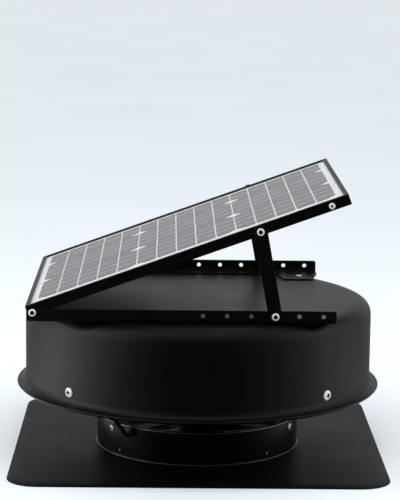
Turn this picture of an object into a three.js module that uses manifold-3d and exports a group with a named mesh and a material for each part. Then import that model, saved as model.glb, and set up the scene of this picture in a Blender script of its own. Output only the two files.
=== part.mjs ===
// Solar attic fan: a roof flashing with a round collar, a spun dome on four straps, a fan on a
// three-arm mount in the collar, and a framed solar panel that tilts on two rails over the dome.
// Millimetres, +Z up, +X right, +Y back. The origin is the centre of the flashing's underside.
// Azimuths are in degrees from the front (-Y) towards the right (+X).

import * as THREE from 'three';
import { mergeVertices } from 'three/addons/utils/BufferGeometryUtils.js';
import Module from 'manifold-3d';

const wasm = await Module();
wasm.setup();

// ---- Driving dimensions -------------------------------------------------------------------

const GAP = 0.3;                    // clearance between pieces that touch
const ROUND = 48;                   // sides of the large turned pieces
const MOTOR_ROUND = 32;             // sides of the motor, its mount and the hub
const SMALL_ROUND = 12;             // sides of screws, bolts and bosses

const PLATE = { width: 610, depth: 584, thickness: 1.2, corner: 50 };
const UPSTAND = { inner: 166.6, outer: 168.1, top: 22 };
const COLLAR = {
  inner: 168.5, outer: 170, bottom: 1.5, top: 57, lip: 164, bend: 2.2, foot: 171.6, footBend: 0.8,
};

const DOME = {
  outer: 290.5, thickness: 1.5, rim: 305, rimBottom: 104, rimTop: 109.5, flare: 11.5,
  shoulderStart: 221.6, shoulderWidth: 40, shoulderHeight: 29.2, shoulderPower: 3,
  crownRadius: 200, crownHeight: 3,
};
const DOME_TOP = DOME.shoulderStart + DOME.shoulderHeight;
const CABLE_HOLE = { x: -170, y: 70, radius: 8.5, flange: 11, skin: 251.2, lift: 0.6 };

const RIVET = { azimuth: 41.3, height: 12, count: 4 };
const MOUNT = {
  azimuth: 63.5, count: 3, bottom: 36.5, thickness: 2.5, plate: 46, bore: 12,
  armWidth: 22, tabTop: 54, reach: 167.3, screwHeight: 45,
};
const STRAP = {
  count: 4, width: 14, thickness: 2.4, collarAzimuth: -40.7, collarRadius: 174.4, domeAzimuth: -45.6,
  domeRadius: 285.2, tabTop: 55.5, foot: 40.5, armReach: 0.56, armHeight: 117, screwHeight: 130.7,
  screwTop: 142, insideRadius: 159, insideFoot: 44, insideTop: 64,
};

const MOTOR = { radius: 42, bottom: 39.3, top: 88, capTop: 100, bearingTop: 58 };
const SHAFT = { radius: 4, bottom: 4, top: 57 };
const HUB = { radius: 30, bottom: 12, top: 29, bore: 4.3 };
const BLADE = {
  count: 5, root: 30.5, tip: 160, height: 20.5, thickness: 1.6, camber: 3,
  rootChord: 34, tipChord: 78, rootPitch: 38, tipPitch: 17,
};

const PANEL = {
  tilt: 20, length: 537, width: 459, height: 17, hingeInset: 8, hingeLift: 4.6,
  wall: 1.5, lip: 7, lipThickness: 1, flange: 14, ledge: 11.2, edgeGap: 0.5,
  glassBottom: 13.7, glassTop: 15.7, laminateBottom: 12.7, laminateTop: 13.4,
};
const RAIL = {
  left: -273.5, right: 213.9, inner: 230.5, outer: 232.5, bottom: 251.2, top: 271.8,
  sheet: 2, foot: 202, corner: 4, tabInner: 151, tabNear: 141, tabFar: 214, tabSlant: 11,
  holeStart: 3.6, holePitch: 38, holeCount: 6, holeHeight: 263, holeRadius: 3.5,
};
const HINGE = { x: -264.6, z: 265.9 };
const LEG = { width: 22, thickness: 2.5, inner: 232.9, hole: 3.3, pivotX: 380.2, pivotZ: 2.2, rung: 3 };
const FRAME_SCREW = { x: 498.6, z: 3 };
const RAIL_SCREW = { x: 180, y: 176.5 };

// Fasteners: head radius and height, shank radius and length, and the hole that they pass through.
const RIVET_BODY = { head: 3.6, height: 1.4, shank: 2, length: 6, hole: 2.4 };
const MOUNT_SCREW = { head: 5.6, height: 3.6, shank: 2.5, length: 9, hole: 2.9 };
const DOME_SCREW = { head: 8.2, height: 3.4, shank: 2.5, length: 12, hole: 3 };
const TOP_SCREW = { head: 5.6, height: 2.8, shank: 2.4, length: 10, hole: 2.8 };
const HINGE_BOLT = { head: 5.9, height: 3, shank: 2.5, length: 10, hole: 2.9 };
const FOOT_BOLT = { head: 5.9, height: 3.2, shank: 2.9, length: 10.5 };
const LEG_BOLT = { head: 5.9, height: 3.2, shank: 2.9, length: 2.8, hole: 3.2 };
const EDGE_SCREW = { head: 5, height: 2.5, shank: 2.3, length: 8, hole: 2.6 };
const SPACER = { inner: 3.2, outer: 4.5 };
const FOOT_NUT = { bore: 3.1, corner: 5.8, height: 5 };
const ROTOR_NUT = { corner: 8, height: 6 };

const JUNCTION = { x: 150, length: 90, width: 70, top: 7.8, bottom: -6.4, lidBottom: -9.2 };

// ---- Materials ----------------------------------------------------------------------------

function finish(color, roughness, metalness) {
  return new THREE.MeshStandardMaterial({ color, roughness, metalness });
}

const BLACK_COAT = finish(0x17171a, 0.45, 0.2);
const BLACK_ANODISED = finish(0x0d0d0f, 0.35, 0.6);
const ZINC = finish(0xc8c9cc, 0.25, 1.0);
const MOTOR_GREY = finish(0x3a3b3e, 0.5, 0.6);
const BLACK_PLASTIC = finish(0x101012, 0.6, 0.0);
const RUBBER = finish(0x0c0c0c, 0.85, 0.0);
const GLASS = finish(0xdfe6ea, 0.05, 0.0);
const CELLS = finish(0x8d8f98, 0.3, 0.1);

// ---- Geometry helpers ---------------------------------------------------------------------

const root = new THREE.Group();

function addMesh(name, geometry, material, parent = root) {
  const mesh = new THREE.Mesh(geometry, material);
  mesh.name = name;
  parent.add(mesh);
  return mesh;
}

function polar(radius, azimuth, z) {
  const angle = THREE.MathUtils.degToRad(azimuth);
  return new THREE.Vector3(radius * Math.sin(angle), -radius * Math.cos(angle), z);
}

// Turns a piece whose own front (-Y) is azimuth 0 to another azimuth.
function turnTo(object, azimuth) {
  object.rotation.z = THREE.MathUtils.degToRad(azimuth);
}

// Points are [radius, z]: outwards along the bottom, up the outside, back along the top.
function turned(points, sides = ROUND) {
  const profile = points.map(([r, z]) => new THREE.Vector2(r, z));
  return new THREE.LatheGeometry(profile, sides).rotateX(Math.PI / 2);
}

function tube(inner, outer, bottom, top, sides = ROUND) {
  return turned([[inner, bottom], [outer, bottom], [outer, top], [inner, top], [inner, bottom]], sides);
}

function rod(radius, bottom, top, sides = SMALL_ROUND) {
  return turned([[0, bottom], [radius, bottom], [radius, top], [0, top]], sides);
}

function box(low, high) {
  const size = high.map((value, axis) => value - low[axis]);
  const geometry = new THREE.BoxGeometry(...size);
  return geometry.translate(low[0] + size[0] / 2, low[1] + size[1] / 2, low[2] + size[2] / 2);
}

// A shape drawn in X and Y, thickened upwards from z.
function plate(shape, z, thickness, curveSegments = 8) {
  const geometry = new THREE.ExtrudeGeometry(shape, { depth: thickness, bevelEnabled: false, curveSegments });
  return geometry.translate(0, 0, z);
}

// A shape drawn in X and Z, thickened from y towards +Y.
function upright(shape, y, thickness, curveSegments = 8) {
  return plate(shape, 0, thickness, curveSegments).rotateX(Math.PI / 2).translate(0, y + thickness, 0);
}

function polygon(points) {
  return new THREE.Shape(points.map(([x, y]) => new THREE.Vector2(x, y)));
}

function roundedRectangle(x0, y0, x1, y1, radius) {
  const shape = new THREE.Shape();
  shape.absarc(x1 - radius, y0 + radius, radius, -Math.PI / 2, 0);
  shape.absarc(x1 - radius, y1 - radius, radius, 0, Math.PI / 2);
  shape.absarc(x0 + radius, y1 - radius, radius, Math.PI / 2, Math.PI);
  shape.absarc(x0 + radius, y0 + radius, radius, Math.PI, 1.5 * Math.PI);
  return shape;
}

function addHole(shape, x, y, radius) {
  const hole = new THREE.Path();
  hole.absarc(x, y, radius, 0, 2 * Math.PI, true);
  shape.holes.push(hole);
}

function toSolid(geometry) {
  const bare = geometry.index ? geometry.toNonIndexed() : geometry.clone();
  bare.deleteAttribute('normal');
  bare.deleteAttribute('uv');
  const merged = mergeVertices(bare, 1e-4);
  return new wasm.Manifold(new wasm.Mesh({
    numProp: 3,
    vertProperties: new Float32Array(merged.attributes.position.array),
    triVerts: new Uint32Array(merged.index.array),
  }));
}

function toGeometry(solid) {
  const mesh = solid.getMesh();
  const geometry = new THREE.BufferGeometry();
  geometry.setAttribute('position', new THREE.BufferAttribute(mesh.vertProperties, 3));
  geometry.setIndex(new THREE.BufferAttribute(mesh.triVerts, 1));
  geometry.computeVertexNormals();
  return geometry;
}

function join(...geometries) {
  return toGeometry(geometries.map(toSolid).reduce((whole, piece) => whole.add(piece)));
}

function cut(geometry, cutters) {
  return toGeometry(cutters.map(toSolid).reduce((rest, cutter) => rest.subtract(cutter), toSolid(geometry)));
}

// A cylinder that drills through a round wall at an azimuth.
function radialDrill(radius, azimuth, z, from, to) {
  const drill = rod(radius, from, to, 16).rotateX(Math.PI / 2);
  return drill.rotateZ(THREE.MathUtils.degToRad(azimuth)).translate(0, 0, z);
}

function spread(count, first) {
  return Array.from({ length: count }, (_, index) => first + (index * 360) / count);
}

// ---- Fasteners ----------------------------------------------------------------------------

// A domed head on a plain shank. The head sits on z = 0 and faces +Z.
function domedScrew({ head, height, shank, length }) {
  return turned([
    [0, -length], [shank, -length], [shank, 0], [head, 0],
    [head, 0.35 * height], [0.65 * head, height], [0, height],
  ], SMALL_ROUND);
}

// A hexagon nut that stands on z = 0.
function hexNut({ bore, corner, height }) {
  const corners = spread(6, 0).map((azimuth) => polar(corner, azimuth, 0));
  const outline = polygon(corners.map((point) => [point.x, point.y]));
  addHole(outline, 0, 0, bore);
  return plate(outline, 0, height, 10);
}

// Places a fastener with its head's underside at a point, facing a direction.
function fasten(name, geometry, point, direction, material = ZINC, parent = root) {
  const mesh = addMesh(name, geometry, material, parent);
  mesh.position.copy(point);
  mesh.quaternion.setFromUnitVectors(new THREE.Vector3(0, 0, 1), direction.clone().normalize());
  return mesh;
}

// ---- Flashing and collar ------------------------------------------------------------------

function buildFlashing() {
  const half = [PLATE.width / 2, PLATE.depth / 2];
  const outline = roundedRectangle(-half[0], -half[1], half[0], half[1], PLATE.corner);
  addHole(outline, 0, 0, (UPSTAND.inner + UPSTAND.outer) / 2);
  const sheet = plate(outline, 0, PLATE.thickness, 12);
  const upstand = tube(UPSTAND.inner, UPSTAND.outer, 0, UPSTAND.top);
  const drills = spread(RIVET.count, RIVET.azimuth).map(
    (azimuth) => radialDrill(RIVET_BODY.hole, azimuth, RIVET.height, UPSTAND.inner - 5, UPSTAND.outer + 5));
  addMesh('flashing_plate', cut(join(sheet, upstand), drills), BLACK_COAT);
}

// Points on a quarter bend round a centre, from one angle to another in degrees.
function quarter(centre, radius, from, to) {
  return Array.from({ length: 4 }, (_, step) => {
    const angle = THREE.MathUtils.degToRad(THREE.MathUtils.lerp(from, to, step / 3));
    return [centre[0] + radius * Math.cos(angle), centre[1] + radius * Math.sin(angle)];
  });
}

// The collar stands over the upstand. Its foot turns out on the flashing and its top edge rolls
// inwards into a narrow lip.
function collarProfile() {
  const { inner, outer, bottom, top, lip, bend, foot, footBend } = COLLAR;
  const wall = outer - inner;
  const footCentre = [outer + footBend, bottom + wall + footBend];
  const topCentre = [outer - bend, top - bend];
  return [
    [foot, bottom], [foot, bottom + wall], ...quarter(footCentre, footBend, 270, 180),
    ...quarter(topCentre, bend, 0, 90), [lip, top], [lip, top - wall],
    ...quarter(topCentre, bend - wall, 90, 0), ...quarter(footCentre, footBend + wall, 180, 270),
    [foot, bottom],
  ];
}

function buildCollar() {
  const span = [COLLAR.inner - 5, COLLAR.outer + 5];
  const rivets = spread(RIVET.count, RIVET.azimuth).map(
    (azimuth) => radialDrill(RIVET_BODY.hole, azimuth, RIVET.height, ...span));
  const screws = spread(MOUNT.count, MOUNT.azimuth).map(
    (azimuth) => radialDrill(MOUNT_SCREW.hole, azimuth, MOUNT.screwHeight, ...span));
  addMesh('neck_collar', cut(turned(collarProfile()), [...rivets, ...screws]), BLACK_COAT);
  spread(RIVET.count, RIVET.azimuth).forEach((azimuth, index) => {
    const point = polar(COLLAR.outer + GAP, azimuth, RIVET.height);
    fasten(`collar_rivet_${index + 1}`, domedScrew(RIVET_BODY), point, polar(1, azimuth, 0), BLACK_COAT);
  });
}

// ---- Dome ---------------------------------------------------------------------------------

// The dome's outer line from the rim's lower edge up to the middle of its crown.
function domeOuterLine(offset) {
  const wall = DOME.outer - offset;
  const points = [[DOME.rim - offset, DOME.rimBottom], [DOME.rim - offset, DOME.rimTop - offset - 1.5]];
  const flareCentre = DOME.outer + DOME.flare;
  const flare = DOME.flare + offset;
  for (let step = 0; step <= 3; step += 1) {
    const angle = (step / 3) * (Math.PI / 2);
    points.push([flareCentre - flare * Math.sin(angle), DOME.rimTop + DOME.flare - flare * Math.cos(angle)]);
  }
  const width = DOME.shoulderWidth - offset / 2;
  const height = DOME.shoulderHeight - offset;
  for (let step = 0; step <= 6; step += 1) {
    const angle = (step / 6) * (Math.PI / 2);
    points.push([
      wall - width + width * Math.abs(Math.cos(angle)) ** (2 / DOME.shoulderPower),
      DOME.shoulderStart + height * Math.abs(Math.sin(angle)) ** (2 / DOME.shoulderPower),
    ]);
  }
  for (const part of [1, 0.6, 0]) {
    points.push([DOME.crownRadius * part, DOME_TOP - offset + DOME.crownHeight * (1 - part * part)]);
  }
  return points;
}

function buildDome() {
  const inner = domeOuterLine(DOME.thickness).reverse();
  const outer = domeOuterLine(0);
  const shell = turned([...inner, ...outer]);
  const wallDrills = spread(STRAP.count, STRAP.domeAzimuth).map(
    (azimuth) => radialDrill(DOME_SCREW.hole, azimuth, STRAP.screwHeight, DOME.outer - 10, DOME.outer + 10));
  const topDrills = railScrewPlaces().map(
    ([x, y]) => rod(TOP_SCREW.hole, DOME_TOP - 10, DOME_TOP + 10).translate(x, y, 0));
  const cableDrill = rod(CABLE_HOLE.radius, DOME_TOP - 10, DOME_TOP + 10, 16)
    .translate(CABLE_HOLE.x, CABLE_HOLE.y, 0);
  addMesh('dome_cap', cut(shell, [...wallDrills, ...topDrills, cableDrill]), BLACK_COAT);
  buildGrommet();
}

// The grommet's flanges stand clear of the crown, which slopes a little at the cable hole.
function buildGrommet() {
  const { x, y, radius, flange, skin, lift } = CABLE_HOLE;
  const over = skin + lift;
  const under = skin - DOME.thickness - lift;
  addMesh('dome_grommet', turned([
    [2.6, under - 3], [flange, under - 3], [flange, under], [radius - GAP, under],
    [radius - GAP, over], [flange, over], [9, over + 2.6], [5, over + 4], [2.6, over + 4],
    [2.6, under - 3],
  ], SMALL_ROUND), RUBBER).position.set(x, y, 0);
}

// ---- Dome straps --------------------------------------------------------------------------

// Thickens an open line of [along, z] points into a closed outline with mitred bends.
function stripOutline(points, thickness) {
  const line = points.map(([x, y]) => new THREE.Vector2(x, y));
  const sides = [1, -1].map((side) => line.map((point, index) => {
    const before = point.clone().sub(line[Math.max(index - 1, 0)]).normalize();
    const after = line[Math.min(index + 1, line.length - 1)].clone().sub(point).normalize();
    const first = index === 0 ? after : before;
    const second = index === line.length - 1 ? before : after;
    const mitre = first.clone().add(second).normalize();
    const normal = new THREE.Vector2(-mitre.y, mitre.x);
    const stretch = 1 / Math.max(normal.dot(new THREE.Vector2(-first.y, first.x)), 0.35);
    return point.clone().addScaledVector(normal, side * (thickness / 2) * stretch);
  }));
  return new THREE.Shape([...sides[0], ...sides[1].reverse()]);
}

// A strap's line as [out, z], from its tab on the collar to its tab on the dome's wall. The first
// strap hooks round a V bend outside the collar; the others stand inside the collar's lip.
function strapLine(reach, outside) {
  const { tabTop, foot, insideFoot, insideTop, armReach, armHeight, screwTop } = STRAP;
  const tab = outside ? [[0, tabTop], [0, foot + 3], [2.6, foot]] : [[0, insideFoot], [0, insideTop]];
  return [...tab, [armReach * reach, armHeight], [reach, armHeight], [reach, screwTop]];
}

function strapGeometry(outside) {
  const start = polar(outside ? STRAP.collarRadius : STRAP.insideRadius, STRAP.collarAzimuth, 0);
  const end = polar(STRAP.domeRadius, STRAP.domeAzimuth, 0);
  const heading = Math.atan2(end.y - start.y, end.x - start.x);
  const outline = stripOutline(strapLine(end.distanceTo(start), outside), STRAP.thickness);
  const strip = upright(outline, -STRAP.width / 2, STRAP.width).rotateZ(heading);
  const span = [DOME.outer - 20, DOME.outer + 5];
  const drill = radialDrill(DOME_SCREW.hole, STRAP.domeAzimuth, STRAP.screwHeight, ...span);
  return cut(strip.translate(start.x, start.y, 0), [drill]);
}

function buildStraps() {
  const outsideStrap = strapGeometry(true);
  const insideStrap = strapGeometry(false);
  spread(STRAP.count, 0).forEach((turn, index) => {
    turnTo(addMesh(`dome_strap_${index + 1}`, index === 0 ? outsideStrap : insideStrap, BLACK_COAT), turn);
    const azimuth = STRAP.domeAzimuth + turn;
    const seat = polar(DOME.outer + GAP, azimuth, STRAP.screwHeight);
    fasten(`dome_screw_${index + 1}`, domedScrew(DOME_SCREW), seat, polar(1, azimuth, 0));
  });
}

// ---- Motor and its mount ------------------------------------------------------------------

function buildMount() {
  const { bottom, thickness, plate: plateRadius, bore, armWidth, tabTop, reach } = MOUNT;
  const half = armWidth / 2;
  const ring = tube(bore, plateRadius, bottom, bottom + thickness, MOTOR_ROUND);
  const arms = spread(MOUNT.count, MOUNT.azimuth).flatMap((azimuth) => {
    const arm = box([-half, -reach, bottom], [half, -plateRadius + 8, bottom + thickness]);
    const tab = box([-half, -reach, bottom], [half, -reach + 2.2, tabTop]);
    return [arm, tab].map((piece) => piece.rotateZ(THREE.MathUtils.degToRad(azimuth)));
  });
  const drills = spread(MOUNT.count, MOUNT.azimuth).map(
    (azimuth) => radialDrill(MOUNT_SCREW.hole, azimuth, MOUNT.screwHeight, reach - 10, reach + 10));
  addMesh('motor_mount', cut(join(ring, ...arms), drills), BLACK_COAT);
  spread(MOUNT.count, MOUNT.azimuth).forEach((azimuth, index) => {
    const seat = polar(COLLAR.outer + GAP, azimuth, MOUNT.screwHeight);
    fasten(`mount_screw_${index + 1}`, domedScrew(MOUNT_SCREW), seat, polar(1, azimuth, 0));
  });
}

function buildMotor() {
  const bearing = SHAFT.radius + GAP;
  addMesh('motor_housing', turned([
    [0, MOTOR.bearingTop], [bearing, MOTOR.bearingTop], [bearing, MOTOR.bottom],
    [MOTOR.radius - 2, MOTOR.bottom], [MOTOR.radius, MOTOR.bottom + 2], [MOTOR.radius, MOTOR.top],
    [0, MOTOR.top],
  ], MOTOR_ROUND), MOTOR_GREY);
  const seat = MOTOR.top + GAP;
  addMesh('motor_cap', turned([
    [0, seat], [MOTOR.radius, seat], [MOTOR.radius, seat + 5], [MOTOR.radius - 3, MOTOR.capTop - 2],
    [MOTOR.radius - 9, MOTOR.capTop], [0, MOTOR.capTop],
  ], MOTOR_ROUND), MOTOR_GREY);
}

// ---- Fan rotor ----------------------------------------------------------------------------

// A twisted blade: pitch falls and chord grows from the root to the tip.
function bladeGeometry() {
  const geometry = new THREE.BoxGeometry(1, 1, 1, 6, 4, 1);
  const places = geometry.attributes.position;
  for (let index = 0; index < places.count; index += 1) {
    const out = places.getX(index) + 0.5;
    const across = places.getY(index);
    const radius = THREE.MathUtils.lerp(BLADE.root, BLADE.tip, out);
    const chord = THREE.MathUtils.lerp(BLADE.rootChord, BLADE.tipChord, Math.sqrt(out));
    const pitch = THREE.MathUtils.degToRad(THREE.MathUtils.lerp(BLADE.rootPitch, BLADE.tipPitch, out));
    const skin = places.getZ(index) * BLADE.thickness + BLADE.camber * (0.25 - across * across) * 4;
    const around = (across * chord * Math.cos(pitch) - skin * Math.sin(pitch)) / radius;
    const lift = across * chord * Math.sin(pitch) + skin * Math.cos(pitch);
    places.setXYZ(index, radius * Math.cos(around), radius * Math.sin(around), BLADE.height + lift);
  }
  geometry.computeVertexNormals();
  return geometry;
}

function buildRotor() {
  addMesh('motor_shaft', rod(SHAFT.radius, SHAFT.bottom, SHAFT.top, 24), ZINC);
  addMesh('fan_hub', tube(HUB.bore, HUB.radius, HUB.bottom, HUB.top, MOTOR_ROUND), BLACK_ANODISED);
  const blade = bladeGeometry();
  spread(BLADE.count, 0).forEach((turn, index) => {
    turnTo(addMesh(`fan_blade_${index + 1}`, blade, BLACK_ANODISED), turn);
  });
  const nut = hexNut({ ...ROTOR_NUT, bore: HUB.bore });
  addMesh('rotor_nut', nut.translate(0, 0, HUB.bottom - GAP - ROTOR_NUT.height), ZINC);
}

// ---- Rails --------------------------------------------------------------------------------

function railScrewPlaces() {
  const { x, y } = RAIL_SCREW;
  return [[-x, -y], [x, -y], [-x, y], [x, y]];
}

// Plan outline of a rail's foot: a strip with two tapering tabs that reach in over the dome. The
// right-hand tab starts flush with the rail's end.
function railFoot(side) {
  const { left, right, outer, foot, tabInner, tabNear, tabFar, tabSlant } = RAIL;
  const tab = (from, to) => [
    [from, foot], [from + tabSlant, tabInner], [to - tabSlant, tabInner], [to, foot],
  ];
  const points = [
    [left, outer], [left, foot], ...tab(-tabFar, -tabNear), ...tab(tabNear, right), [right, outer],
  ];
  const ordered = side < 0 ? points.reverse() : points;
  const outline = polygon(ordered.map(([x, y]) => [x, y * side]));
  addHole(outline, -RAIL_SCREW.x, RAIL_SCREW.y * side, TOP_SCREW.hole);
  addHole(outline, RAIL_SCREW.x, RAIL_SCREW.y * side, TOP_SCREW.hole);
  return plate(outline, RAIL.bottom, RAIL.sheet, 6);
}

// The upright flange with the hinge hole at its left end and the row of tilt holes.
function railFlange(side) {
  const { left, right, bottom, top, corner, sheet, inner, outer } = RAIL;
  const outline = new THREE.Shape();
  outline.moveTo(left, bottom);
  outline.lineTo(right, bottom);
  outline.absarc(right - corner, top - corner, corner, 0, Math.PI / 2);
  outline.absarc(left + corner, top - corner, corner, Math.PI / 2, Math.PI);
  addHole(outline, HINGE.x, HINGE.z, HINGE_BOLT.hole);
  for (let index = 0; index < RAIL.holeCount; index += 1) {
    addHole(outline, RAIL.holeStart + index * RAIL.holePitch, RAIL.holeHeight, RAIL.holeRadius);
  }
  return upright(outline, side < 0 ? -outer : inner, sheet, 6);
}

function buildRails() {
  for (const [name, side] of [['front', -1], ['rear', 1]]) {
    addMesh(`${name}_rail`, join(railFoot(side), railFlange(side)), BLACK_COAT);
    const outward = new THREE.Vector3(0, side, 0);
    const hinge = new THREE.Vector3(HINGE.x, side * (RAIL.outer + GAP), HINGE.z);
    fasten(`hinge_bolt_${name}`, domedScrew(HINGE_BOLT), hinge, outward);
    const foot = footPlace();
    const nut = new THREE.Vector3(foot.x, side * (RAIL.inner - GAP), foot.z);
    fasten(`foot_nut_${name}`, hexNut(FOOT_NUT), nut, outward.clone().negate());
  }
  railScrewPlaces().forEach(([x, y], index) => {
    const seat = new THREE.Vector3(x, y, RAIL.bottom + RAIL.sheet + GAP);
    fasten(`rail_screw_${index + 1}`, domedScrew(TOP_SCREW), seat, new THREE.Vector3(0, 0, 1));
  });
}

// ---- Solar panel --------------------------------------------------------------------------

// Everything on the panel hangs in this group: its origin is the hinge axis, its X runs up the slope.
const panel = new THREE.Group();
panel.position.set(HINGE.x, 0, HINGE.z);
panel.rotation.y = -THREE.MathUtils.degToRad(PANEL.tilt);
root.add(panel);

const PANEL_LEFT = -PANEL.hingeInset;
const PANEL_RIGHT = PANEL_LEFT + PANEL.length;
const PANEL_SIDE = PANEL.width / 2;
const PANEL_FLOOR = -PANEL.hingeLift;

// Frame section as [inwards, up]: outer wall, top lip, ledge under the laminate, bottom flange.
function frameSection() {
  const { wall, lip, lipThickness, flange, ledge, height } = PANEL;
  return [
    [0, 0], [flange, 0], [flange, wall], [wall, wall], [wall, ledge], [lip, ledge],
    [lip, ledge + 1.2], [wall, ledge + 1.2], [wall, height - lipThickness],
    [lip, height - lipThickness], [lip, height], [0, height],
  ];
}

// One mitred frame bar, centred on its length along X, with its outer face at y = 0 facing -Y.
function frameBar(length) {
  const bar = new THREE.ExtrudeGeometry(polygon(frameSection()), { depth: length, bevelEnabled: false });
  const places = bar.attributes.position;
  for (let index = 0; index < places.count; index += 1) {
    const inward = places.getX(index);
    const share = places.getZ(index) / length - 0.5;
    places.setXYZ(index, share * (length - 2 * inward - 2 * GAP), inward, places.getY(index));
  }
  return bar;
}

function sideDrill(x, z, radius, y) {
  return rod(radius, -6, 6, 16).rotateX(Math.PI / 2).translate(x, y, z);
}

function buildFrame() {
  const middle = (PANEL_LEFT + PANEL_RIGHT) / 2;
  const long = frameBar(PANEL.length).translate(0, -PANEL_SIDE, 0);
  const short = frameBar(PANEL.width).translate(0, -PANEL.length / 2, 0);
  const places = [['front', 0, long], ['back', 180, long], ['right', 90, short], ['left', -90, short]];
  for (const [name, turn, bar] of places) {
    let geometry = bar.clone().rotateZ(THREE.MathUtils.degToRad(turn)).translate(middle, 0, PANEL_FLOOR);
    if (bar === long) {
      const y = turn === 0 ? -PANEL_SIDE : PANEL_SIDE;
      geometry = cut(geometry, [
        sideDrill(0, 0, HINGE_BOLT.hole, y),
        sideDrill(LEG.pivotX, LEG.pivotZ, LEG_BOLT.hole, y),
        sideDrill(FRAME_SCREW.x, FRAME_SCREW.z, EDGE_SCREW.hole, y),
      ]);
    }
    addMesh(`frame_${name}`, geometry, BLACK_ANODISED, panel);
  }
}

function buildLaminate() {
  const inset = PANEL.wall + PANEL.edgeGap;
  const slab = (bottom, top) => box(
    [PANEL_LEFT + inset, -PANEL_SIDE + inset, PANEL_FLOOR + bottom],
    [PANEL_RIGHT - inset, PANEL_SIDE - inset, PANEL_FLOOR + top]);
  addMesh('solar_glass', slab(PANEL.glassBottom, PANEL.glassTop), GLASS, panel);
  addMesh('cell_laminate', slab(PANEL.laminateBottom, PANEL.laminateTop), CELLS, panel);
}

function buildJunctionBox() {
  const { x, length, width, top, bottom, lidBottom } = JUNCTION;
  const body = roundedRectangle(x - length / 2, -width / 2, x + length / 2, width / 2, 6);
  const lid = roundedRectangle(x - length / 2 - 2, -width / 2 - 2, x + length / 2 + 2, width / 2 + 2, 8);
  addMesh('junction_box', plate(body, bottom, top - bottom, 4), BLACK_PLASTIC, panel);
  addMesh('junction_lid', plate(lid, lidBottom, bottom - GAP - lidBottom, 4), BLACK_PLASTIC, panel);
  const gland = turned([
    [2.6, 0], [6, 0], [6, 6], [5.2, 7], [5.2, 12], [3.8, 15], [2.6, 15], [2.6, 0],
  ], SMALL_ROUND).rotateY(Math.PI / 2);
  addMesh('cable_gland', gland, BLACK_PLASTIC, panel)
    .position.set(x + length / 2 + GAP, 0, (top + bottom) / 2);
}

// ---- Legs ---------------------------------------------------------------------------------

function pivotPlace() {
  return panel.localToWorld(new THREE.Vector3(LEG.pivotX, 0, LEG.pivotZ));
}

function footPlace() {
  return new THREE.Vector3(RAIL.holeStart + LEG.rung * RAIL.holePitch, 0, RAIL.holeHeight);
}

// A flat bar with round ends, drawn from its pivot at the origin down to its foot.
function legOutline(length) {
  const radius = LEG.width / 2;
  const shape = new THREE.Shape();
  shape.absarc(0, 0, radius, 0, Math.PI);
  shape.absarc(0, -length, radius, Math.PI, 2 * Math.PI);
  addHole(shape, 0, 0, LEG.hole);
  addHole(shape, 0, -length, LEG.hole);
  return shape;
}

// A leg turns on its foot bolt in the rail. Its top bolt ends flush with the leg's inner face, so
// that the leg can fold down beside the rail while the panel comes down.
function buildLegs() {
  panel.updateWorldMatrix(true, false);
  const pivot = pivotPlace();
  const foot = footPlace();
  const length = pivot.distanceTo(foot);
  const lean = -Math.atan2(foot.x - pivot.x, pivot.z - foot.z);
  const head = LEG.inner + LEG.thickness + GAP;
  for (const [name, side] of [['front', -1], ['rear', 1]]) {
    const outward = new THREE.Vector3(0, side, 0);
    const near = side < 0 ? -LEG.inner - LEG.thickness : LEG.inner;
    const leg = addMesh(`leg_${name}`, upright(legOutline(length), near, LEG.thickness), BLACK_COAT);
    leg.position.copy(pivot);
    leg.rotation.y = lean;
    fasten(`foot_bolt_${name}`, domedScrew(FOOT_BOLT),
      new THREE.Vector3(foot.x, side * head, foot.z), outward);
    fasten(`leg_bolt_${name}`, domedScrew(LEG_BOLT),
      new THREE.Vector3(LEG.pivotX, side * head, LEG.pivotZ), outward, ZINC, panel);
    const spacerLength = LEG.inner - PANEL_SIDE - 2 * GAP;
    fasten(`leg_spacer_${name}`, tube(SPACER.inner, SPACER.outer, 0, spacerLength, SMALL_ROUND),
      new THREE.Vector3(LEG.pivotX, side * (PANEL_SIDE + GAP), LEG.pivotZ), outward, ZINC, panel);
    fasten(`frame_screw_${name}`, domedScrew(EDGE_SCREW),
      new THREE.Vector3(FRAME_SCREW.x, side * (PANEL_SIDE + 0.2), FRAME_SCREW.z), outward, ZINC, panel);
  }
}

// ---- Assembly -----------------------------------------------------------------------------

buildFlashing();
buildCollar();
buildDome();
buildStraps();
buildMount();
buildMotor();
buildRotor();
buildRails();
buildFrame();
buildLaminate();
buildJunctionBox();
buildLegs();

export default root;
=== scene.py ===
from math import atan2, copysign, cos, degrees, hypot, pi, radians, sin, sqrt
from types import SimpleNamespace as Sizes
import bmesh
import bpy
from mathutils import Matrix, Vector


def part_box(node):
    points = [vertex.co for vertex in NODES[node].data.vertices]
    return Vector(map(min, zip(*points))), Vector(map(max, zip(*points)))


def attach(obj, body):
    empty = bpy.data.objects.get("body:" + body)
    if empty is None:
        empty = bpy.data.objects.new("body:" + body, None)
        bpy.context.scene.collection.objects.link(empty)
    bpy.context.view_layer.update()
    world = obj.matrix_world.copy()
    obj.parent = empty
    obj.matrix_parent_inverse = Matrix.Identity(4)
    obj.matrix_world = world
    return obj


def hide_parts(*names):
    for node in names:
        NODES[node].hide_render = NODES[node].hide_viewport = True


# Solar attic fan: the finished look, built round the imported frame. Metres, +Z up, -Y the front.

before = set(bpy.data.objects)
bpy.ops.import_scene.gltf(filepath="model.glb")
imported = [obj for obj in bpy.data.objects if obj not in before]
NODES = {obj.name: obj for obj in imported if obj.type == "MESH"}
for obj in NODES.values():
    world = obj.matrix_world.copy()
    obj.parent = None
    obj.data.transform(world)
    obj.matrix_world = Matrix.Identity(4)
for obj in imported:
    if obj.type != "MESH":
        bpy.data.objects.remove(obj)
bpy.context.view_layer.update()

# -- Sizes --

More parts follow.
